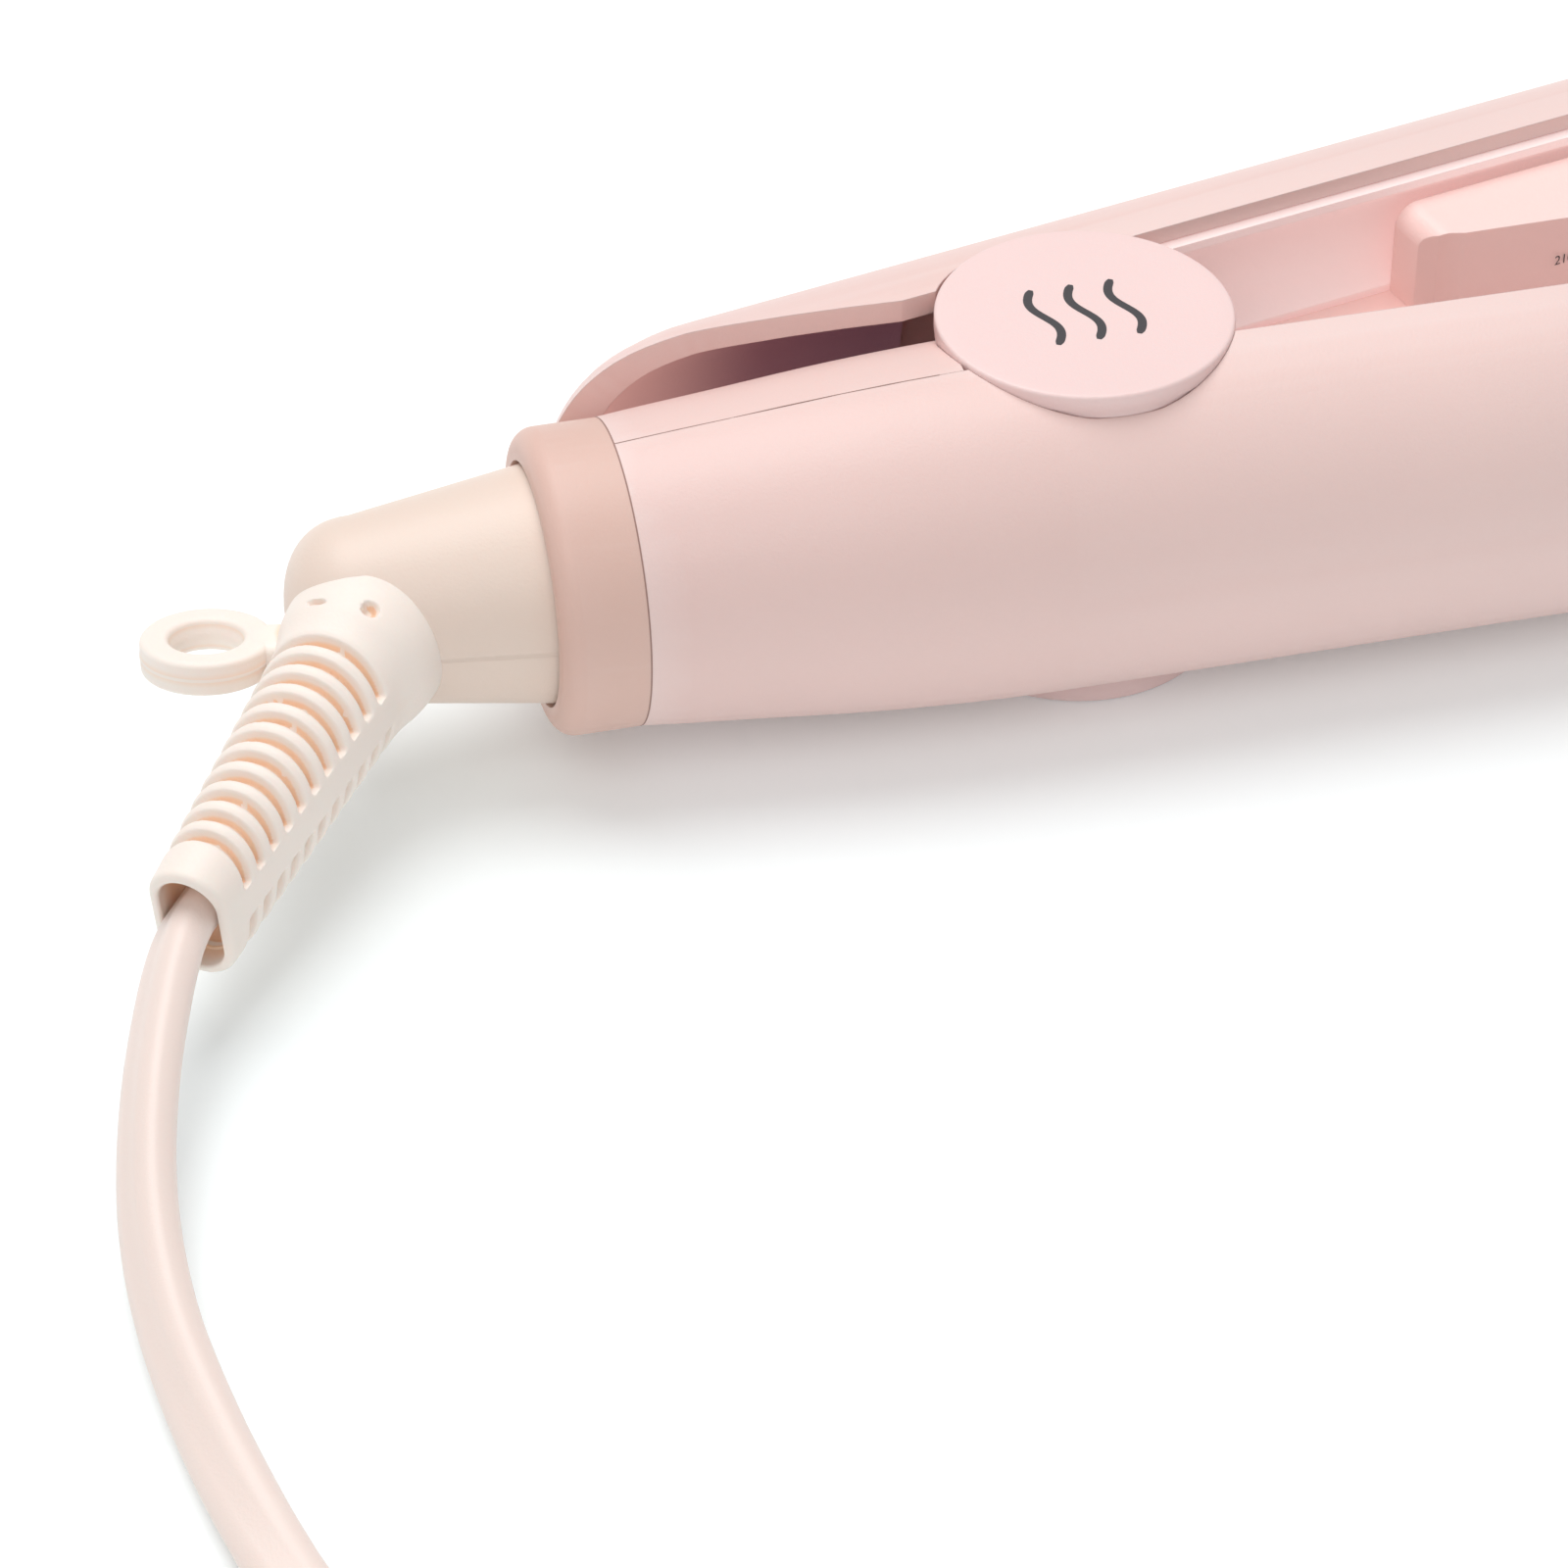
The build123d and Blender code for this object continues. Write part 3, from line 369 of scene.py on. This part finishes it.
def relief_point(along, degrees, inset):
    """Point on a section with straight sides and half-round ends."""
    wide, tall = relief_sizes(along)
    wide, tall = max(wide - inset, 0.01), max(tall - inset, 0.012)
    angle = math.radians(degrees)
    sine, cosine = abs(math.sin(angle)), abs(math.cos(angle))
    straight = tall - wide
    radius = straight * cosine + math.sqrt(max(wide ** 2 - (straight * sine) ** 2, 0.0))
    if sine > 1e-6 and cosine * wide / sine <= straight:
        radius = wide / sine
    return BALL + RELIEF_AXIS * along + (RELIEF_SIDE * math.sin(angle) + RELIEF_UP * math.cos(angle)) * radius


def build_relief():
    """Dome, ribbed body and deep mouth as one skin."""
    around = 220
    stations = []
    for step in range(14):
        stations.append((-BALL_R * math.cos(math.radians(90 * step / 14)) * 0.999, 0.0, False))
    along = 0.0
    while along < RELIEF_LENGTH - LIP_R:
        stations.append((along, 0.0, True))
        along += 0.14 if along < RELIEF_LENGTH - 1.5 else 0.3
    for step in range(9):
        turn = math.radians(90 * step / 8)
        stations.append((RELIEF_LENGTH - LIP_R + LIP_R * math.sin(turn), LIP_R * (1 - math.cos(turn)), False))
    for step in range(1, 7):
        turn = math.radians(90 * step / 6)
        stations.append((RELIEF_LENGTH - 0.45 * (1 - math.cos(turn)), LIP_R + 0.45 * math.sin(turn), False))
    for depth, inset in ((1.2, 1.38), (2.6, 1.42), (4.0, 1.7), (4.9, 2.4), (5.3, 3.4)):
        stations.append((RELIEF_LENGTH - depth, inset, False))
    vertices = []
    for along, inset, ribbed in stations:
        for step in range(around):
            degrees = -180 + 360 * step / around
            point = relief_point(along, degrees, inset)
            if ribbed:
                height = (point - BALL).dot(RELIEF_UP)
                cut = max(groove_depth(along, height), hole_depth(along, point) if along < 6 else 0.0)
                point = relief_point(along, degrees, inset + cut) if cut else point
            vertices.append(point)
    faces = grid_faces(len(stations), around, cap_start=True, cap_end=True)
    return mesh_piece("relief_body", vertices, faces, "relief_peach", "swivel", sharp=60)


def build_ring():
    """Hanging ring with eased edges and a moulding line round its rim, and the neck to the dome."""
    outline = []
    corners = [(RING_HOLE_R, -RING_HALF), (RING_R, -RING_HALF), (RING_R, RING_HALF), (RING_HOLE_R, RING_HALF)]
    ease = 0.7
    for number, (radius, height) in enumerate(corners):
        inward = (1 if radius == RING_HOLE_R else -1, 1 if height < 0 else -1)
        centre = (radius + inward[0] * ease, height + inward[1] * ease)
        first = (180, 270, 0, 90)[number]
        for step in range(6):
            angle = math.radians(first + 90 * step / 5)
            outline.append((centre[0] + ease * math.cos(angle), centre[1] + ease * math.sin(angle)))
        if number == 3:
            outline += [(RING_HOLE_R - 0.35, 0.6), (RING_HOLE_R - 0.5, 0.0), (RING_HOLE_R - 0.35, -0.6)]
        if number == 1:
            outline += [(RING_R, -0.22), (RING_R + 0.09, -0.08), (RING_R + 0.09, 0.08), (RING_R, 0.22)]
    around = 96
    vertices = []
    for step in range(around):
        angle = 2 * math.pi * step / around
        for radius, height in outline:
            vertices.append(RING_TURN @ Vector((radius * math.cos(angle), radius * math.sin(angle), height)))
    faces = []
    count = len(outline)
    for step in range(around):
        following = (step + 1) % around
        for k in range(count):
            ahead = (k + 1) % count
            faces.append((step * count + k, step * count + ahead,
                          following * count + ahead, following * count + k))
    mesh_piece("hanging_ring", vertices, faces, "relief_peach", "swivel", sharp=60)

    along = (BALL - RING).normalized()
    across = RING_UP.cross(along).normalized()
    reach = (BALL - RING).length
    vertices = []
    stations = [(RING_HOLE_R + 0.9, 3.2), (RING_R - 0.6, 3.6), (RING_R + 0.9, 3.5), (RING_R + 2.2, 3.9),
                (reach - BALL_R + 1.0, 5.6), (reach - BALL_R + 3.5, 7.6)]
    ring_of = 32
    for distance, half in stations:
        for step in range(ring_of):
            angle = 2 * math.pi * step / ring_of
            across_share = math.copysign(abs(math.cos(angle)) ** 0.35, math.cos(angle))
            up_share = math.copysign(abs(math.sin(angle)) ** 0.55, math.sin(angle))
            centre = RING + along * distance
            sideways = across * (half * across_share)
            vertices.append(centre + sideways + RING_UP * (RING_HALF * NECK_SHARE * up_share))
    faces = grid_faces(len(stations), ring_of, cap_start=True, cap_end=True)
    mesh_piece("ring_neck", vertices, faces, "relief_peach", "swivel", sharp=50)


relief = build_relief()
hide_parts("strain_relief")
build_ring()


# ---------------------------------------------------------------- swivel hub
def hub_outline():
    """Outside of the hub from inside the collar to its rounded end, as (x, radius)."""
    points = [(COLLAR_X - 2.0, HUB_R), (COLLAR_X - COLLAR_LENGTH + 1.0, HUB_R)]
    cone_x = HUB_END_X + HUB_ROUND
    for step in range(1, 13):
        share = step / 12
        points.append((COLLAR_X - COLLAR_LENGTH + 1.0 + (cone_x - COLLAR_X + COLLAR_LENGTH - 1.0) * share,
                       HUB_R + (HUB_END_R - HUB_R) * share))
    for step in range(1, 17):
        angle = math.radians(90 * step / 16)
        points.append((cone_x - HUB_ROUND * math.sin(angle) ** HUB_POWER,
                       HUB_END_R * math.cos(angle) ** HUB_POWER))
    return points


def build_hub():
    """Two moulded halves that meet in a fine stepped parting line."""
    outline = hub_outline()
    steps = 90
    for name, first, lift in (("hub_top", -90.0, -0.09), ("hub_base", 90.0, 0.07)):
        columns = [(first, 0.6), (first, lift), (first + 0.45, lift), (first + 0.8, 0.0)]
        columns += [(first + 180.0 * step / steps, 0.0) for step in range(1, steps)]
        columns += [(first + 179.2, 0.0), (first + 179.55, lift), (first + 180, lift), (first + 180, 0.6)]
        vertices = []
        for degrees, inset in columns:
            angle = math.radians(degrees)
            for x, radius in outline:
                shrunk = max(radius - inset, 0.0)
                vertices.append((x, AXIS_A + shrunk * math.sin(angle), MID_Z + shrunk * math.cos(angle)))
        faces = grid_faces(len(columns), len(outline), wrap=False)
        mesh_piece(name, vertices, faces, "hub_cream", "swivel", sharp=60)


build_hub()
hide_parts("hub_upper")
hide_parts("hub_lower")


# ---------------------------------------------------------------- cord
def coil_point(degrees, radius, height):
    angle = math.radians(degrees)
    return COIL_CENTRE + Vector((radius * math.cos(angle), radius * math.sin(angle), height))


def coil_tangent(degrees):
    return Vector((math.sin(math.radians(degrees)), -math.cos(math.radians(degrees)), 0))


def coil_turns():
    """Centre line of the coil: in along the bottom layer, up, and out along the top layer."""
    low, high = 0.5 * COIL_LAYER_PITCH + 0.05, 1.5 * COIL_LAYER_PITCH
    inner_r = OUTER_TURN_R - COIL_PITCH * (COIL_COLUMNS - 1)
    last_part = (COIL_ENTRY_ANGLE - COIL_EXIT_ANGLE) % 360
    legs = []
    for column in range(COIL_COLUMNS):
        radius = OUTER_TURN_R - COIL_PITCH * column
        next_level = low if column < COIL_COLUMNS - 1 else high
        legs.append((360.0, radius, max(radius - COIL_PITCH, inner_r), low, next_level))
    legs.append((last_part, inner_r, inner_r + COIL_PITCH, high, high))
    for column in range(1, COIL_COLUMNS):
        radius = inner_r + COIL_PITCH * column
        legs.append((360.0, radius, min(radius + COIL_PITCH, OUTER_TURN_R), high, high))
    points = []
    turned = 0.0
    for sweep, radius, next_radius, height, next_height in legs:
        steps = int(sweep / 7.5)
        for step in range(steps):
            angle = sweep * step / steps
            share = smooth((angle - (sweep - SHIFT_ANGLE)) / SHIFT_ANGLE)
            reach = radius + (next_radius - radius) * share
            level = height + (next_height - height) * share
            points.append(coil_point(COIL_ENTRY_ANGLE - turned - angle, reach, level))
        turned += sweep
    points.append(coil_point(COIL_EXIT_ANGLE, OUTER_TURN_R, high))
    return points


def cord_route():
    """Points from inside the strain relief to the coil, then the coil and its far lead."""
    start = TIP + RELIEF_AXIS * 1.6 - RELIEF_SIDE * 0.5
    entry = coil_point(COIL_ENTRY_ANGLE, OUTER_TURN_R, 3.2)
    heading = coil_tangent(COIL_ENTRY_ANGLE)
    exit_point = coil_point(COIL_EXIT_ANGLE, OUTER_TURN_R, 1.5 * COIL_LAYER_PITCH)
    route = [TIP - RELIEF_AXIS * 11, TIP - RELIEF_AXIS * 4, start]
    route += [Vector(p) for p in (
        (-122.6, -60.5, 13.6),
        (-126.6, -73.5, 11.0),
        (-129.3, -87.0, 7.2),
        (-129.7, -101.0, 4.6),
        (-128.2, -115.5, 3.7),
        (-125.6, -130.5, 3.3),
    )]
    route += [entry - heading * (COIL_ENTRY_LEAD + 17.5), entry - heading * COIL_ENTRY_LEAD]
    turns = coil_turns()
    far = coil_tangent(COIL_EXIT_ANGLE)
    return route + turns + [exit_point + far * (COIL_EXIT_LEAD * share) for share in (0.35, 0.7, 1.0)]


def sampled_route(step):
    """Even points along a quadratic NURBS through the route's control points."""
    curve = bpy.data.curves.new("route", "CURVE")
    curve.dimensions = "3D"
    spline = curve.splines.new("NURBS")
    route = cord_route()
    spline.points.add(len(route) - 1)
    for point, place in zip(spline.points, route):
        point.co = (*place, 1)
    spline.order_u = 3
    spline.use_endpoint_u = True
    spline.resolution_u = 8
    holder = bpy.data.objects.new("route", curve)
    line = np.array([v.co for v in holder.to_mesh().vertices])
    holder.to_mesh_clear()
    bpy.data.objects.remove(holder)
    gaps = np.linalg.norm(np.diff(line, axis=0), axis=1)
    lengths = np.concatenate([[0], np.cumsum(gaps)])
    count = int(lengths[-1] / step)
    stations = np.linspace(0, lengths[-1], count)
    places = np.stack([np.interp(stations, lengths, line[:, k]) for k in range(3)], axis=1)
    return [Vector(p) for p in places], stations


def cord_section(steps=28):
    """Flat twin cord: an oval with a shallow groove along the middle of both broad sides."""
    points = []
    for step in range(steps):
        angle = 2 * math.pi * step / steps
        across = CORD_HALF_WIDTH * math.copysign(abs(math.cos(angle)) ** 0.8, math.cos(angle))
        thick = CORD_HALF_THICKNESS * math.copysign(abs(math.sin(angle)) ** 0.75, math.sin(angle))
        thick *= 1 - 0.13 * math.exp(-(across / 0.75) ** 2)
        points.append((across, thick))
    return points


def build_cord():
    """The cord in one skin; it stands on edge at the strain relief and twists flat onto the table."""
    places, stations = sampled_route(1.6)
    section = cord_section()
    vertices = []
    for number, place in enumerate(places):
        before, after = places[max(number - 1, 0)], places[min(number + 1, len(places) - 1)]
        tangent = (after - before).normalized()
        level = UP.cross(tangent).normalized()
        rise = tangent.cross(level)
        twist = math.radians(52.0 * (1 - smooth((stations[number] - 62.0) / 62.0)))
        broad = level * math.cos(twist) + rise * math.sin(twist)
        thin = tangent.cross(broad)
        for across, thick in section:
            vertices.append(place + broad * across + thin * thick)
    faces = grid_faces(len(places), len(section), cap_start=True, cap_end=True)
    piece = mesh_piece("cord", vertices, faces, "cord_pink", sharp=60)
    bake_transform(piece)
    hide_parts("cord_tube", "cord_coil", "cord_stub")


build_cord()


# ---------------------------------------------------------------- hinge discs
def build_disc(name, node, z_in, z_out):
    """Flat disc with a crisp eased rim and a shallow shadow step above the shells."""
    out = math.copysign(1, z_out - z_in)
    profile = [(0.0, z_out), (4.0, z_out), (8.0, z_out), (12.0, z_out), (16.0, z_out), (DISC_R - 0.45, z_out)]
    for step in range(1, 7):
        turn = math.radians(90 * step / 6)
        profile.append((DISC_R - 0.45 + 0.45 * math.sin(turn), z_out - out * 0.45 * (1 - math.cos(turn))))
    step_r = DISC_R - 0.12
    profile += [(DISC_R, z_in + out * 1.0), (step_r, z_in + out * 0.8), (step_r, z_in), (0.0, z_in)]
    around = 192
    vertices = []
    for radius, z in profile:
        for step in range(around):
            angle = 2 * math.pi * step / around
            vertices.append((radius * math.cos(angle), radius * math.sin(angle), z))
    piece = mesh_piece(name, vertices, grid_faces(len(profile), around), "disc_pink", "root", sharp=50)
    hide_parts(node)


def ribbon(name, points, half_width, z, look, body):
    """Flat printed line of constant width, a hair above a level surface."""
    vertices = []
    for number, point in enumerate(points):
        before, after = points[max(number - 1, 0)], points[min(number + 1, len(points) - 1)]
        along = Vector((after[0] - before[0], after[1] - before[1], 0)).normalized()
        across = Vector((-along.y, along.x, 0))
        near_end = min(number, len(points) - 1 - number)
        half = half_width * math.sqrt(min(1.0, 0.25 + near_end / 3))
        for side in (-1, 1):
            vertices.append(Vector((point[0], point[1], z)) + across * (half * side))
    faces = [(2 * k, 2 * k + 1, 2 * k + 3, 2 * k + 2) for k in range(len(points) - 1)]
    return mesh_piece(name, vertices, faces, look, body)


build_disc("disc_top", "hinge_disc_top", 2 * MID_Z - DISC_THICKNESS, 2 * MID_Z)
build_disc("disc_bottom", "hinge_disc_bottom", DISC_THICKNESS, 0.0)
for line in range(3):
    wave = []
    for step in range(41):
        share = step / 40
        wave.append((-5.0 + 5.0 * line + 1.1 * math.sin(2 * math.pi * share), -6.0 + 12.0 * share))
    ribbon(f"heat_line_{line + 1}", wave, 0.55, 2 * MID_Z + 0.012, "charcoal_print", "root")


# ---------------------------------------------------------------- seams of arm A
# Arm A's outside as (x, radius), from the collar to the hinge.
TUBE = [(-59.3, 18.5), (-52.0, 19.2), (-45.0, 19.8), (-39.0, 20.4), (-33.0, 20.9),
        (-26.0, 21.4), (-20.0, 21.7), (-14.0, 21.9), (-8.0, 22.0)]


def build_seams():
    """Dark hairlines where the collar meets the shells and where the two shells meet."""
    around = 128
    vertices = []
    for x, lift in ((COLLAR_X - 0.09, 0.012), (COLLAR_X + 0.09, 0.03)):
        for step in range(around):
            angle = 2 * math.pi * step / around
            radius = COLLAR_R + lift
            vertices.append((x, AXIS_A + radius * math.sin(angle), MID_Z + radius * math.cos(angle)))
    mesh_piece("collar_seam", vertices, grid_faces(2, around), "seam_line", "root")
    places = [(x, MID_Z + radius + 0.02) for x, radius in TUBE if x < -16]
    for name, up in (("seam_top", 1), ("seam_bottom", -1)):
        vertices = []
        for x, z in places:
            level = z if up > 0 else 2 * MID_Z - z
            vertices += [(x, AXIS_A - 0.07, level), (x, AXIS_A + 0.07, level)]
        faces = [(2 * k, 2 * k + 1, 2 * k + 3, 2 * k + 2) for k in range(len(places) - 1)]
        mesh_piece(name, vertices, faces, "seam_line", "root")


build_seams()


# ---------------------------------------------------------------- arm B
def build_tail_shade_sheet():
    """Painted-shade sheet in the hollow tail, short of its rim. When open it cuts slightly into arm A's rear
    cover.
    """
    inner_r, inner_length = BODY_R - TAIL_WALL - SHADE_SHEET_GAP, NOSE_LENGTH - TAIL_NOSE_WALL - SHADE_SHEET_GAP
    straight_part = (-8.2, -12.0, -16.0, -20.0, -24.0, -28.0, -32.0, -36.0, NOSE_START)
    profile = [(x, inner_r) for x in straight_part]
    for step in range(1, 30):
        angle = math.radians(90 - 90 * step / 30)
        profile.append((NOSE_START - inner_length * math.cos(angle) ** (2 / NOSE_POWER),
                        inner_r * math.sin(angle) ** (2 / NOSE_POWER)))
    around = 64
    vertices = []
    rows = 0
    for x, radius in profile:
        rim = RIM_SLOPE * max(0.0, RIM_X - x) + RIM_GAP
        if rim >= radius:
            break
        first = math.degrees(math.asin(rim / radius))
        for step in range(around + 1):
            angle = math.radians(first + (180 - 2 * first) * step / around)
            place = Vector((x, AXIS_B + radius * math.sin(angle), MID_Z - radius * math.cos(angle)))
            vertices.append(OPEN_TURN @ place)
        rows += 1
    faces = grid_faces(rows, around + 1, wrap=False)
    mesh_piece("tail_shade_sheet", vertices, faces, "tail_shade", "arm_b", sharp=60)


build_tail_shade_sheet()


def pod_text(name, words, x, z, size):
    """Small printed figures on the pod's face, as flat mesh."""
    curve = bpy.data.curves.new(name, "FONT")
    curve.body = words
    curve.size = size * MM
    curve.align_x = "CENTER"
    curve.align_y = "CENTER"
    holder = bpy.data.objects.new(name, curve)
    mesh = bpy.data.meshes.new_from_object(holder)
    bpy.data.objects.remove(holder)
    place = Matrix.Translation(Vector((x, POD_FACE - 0.02, z)) * MM)
    upright = Matrix.Rotation(math.radians(90), 4, "X")
    mesh.transform(OPEN_TURN @ (place @ upright))
    piece = bpy.data.objects.new(name, mesh)
    scene.collection.objects.link(piece)
    mesh.materials.append(LOOKS["charcoal_print"])
    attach(piece, "arm_b")


for number, (words, z) in enumerate((("210", 9.0), ("190", 3.0), ("170", -3.0), ("150", -9.0))):
    pod_text(f"figure_{number + 1}", words, POD_RAMP_X - 1.2, MID_Z + z + 2.1, 1.9)


# ---------------------------------------------------------------- floor, light, camera
bpy.ops.mesh.primitive_plane_add(size=6, location=(0, 0, -0.0002))
floor = bpy.context.object
floor.name = "floor"
floor_look, nodes, links = new_material("floor_white")
nodes["Principled BSDF"].inputs["Base Color"].default_value = (0.90, 0.95, 0.96, 1)
nodes["Principled BSDF"].inputs["Roughness"].default_value = 0.7
nodes["Principled BSDF"].inputs["Emission Color"].default_value = (0.94, 1.0, 1.0, 1)
nodes["Principled BSDF"].inputs["Emission Strength"].default_value = 0.12
floor.data.materials.append(floor_look)


def area_light(name, place, target, size, power):
    data = bpy.data.lights.new(name, "AREA")
    data.shape = "DISK"
    data.size = size
    data.energy = power
    lamp = bpy.data.objects.new(name, data)
    lamp.location = place
    lamp.rotation_euler = (Vector(target) - Vector(place)).to_track_quat("-Z", "Y").to_euler()
    scene.collection.objects.link(lamp)


area_light("key", (-0.1, 0.35, 1.1), (0.0, 0, 0), 1.0, 9)
area_light("fill", (-0.55, -0.95, 1.25), (0, 0, 0.02), 1.2, 5)
world = bpy.data.worlds.new("studio")
world.use_nodes = True
world.node_tree.nodes["Background"].inputs[0].default_value = (1, 1, 1, 1)
world.node_tree.nodes["Background"].inputs[1].default_value = 0.45
scene.world = world
scene.view_settings.view_transform = "Standard"

camera_data = bpy.data.cameras.new("camera")
camera_data.lens = 127.0
camera_data.sensor_width = 36.0
camera = bpy.data.objects.new("camera", camera_data)
camera.location = (-0.16838, -0.52550, 0.41239)
camera.rotation_euler = (math.radians(51.41), 0, math.radians(-14.04))
scene.collection.objects.link(camera)
scene.camera = camera
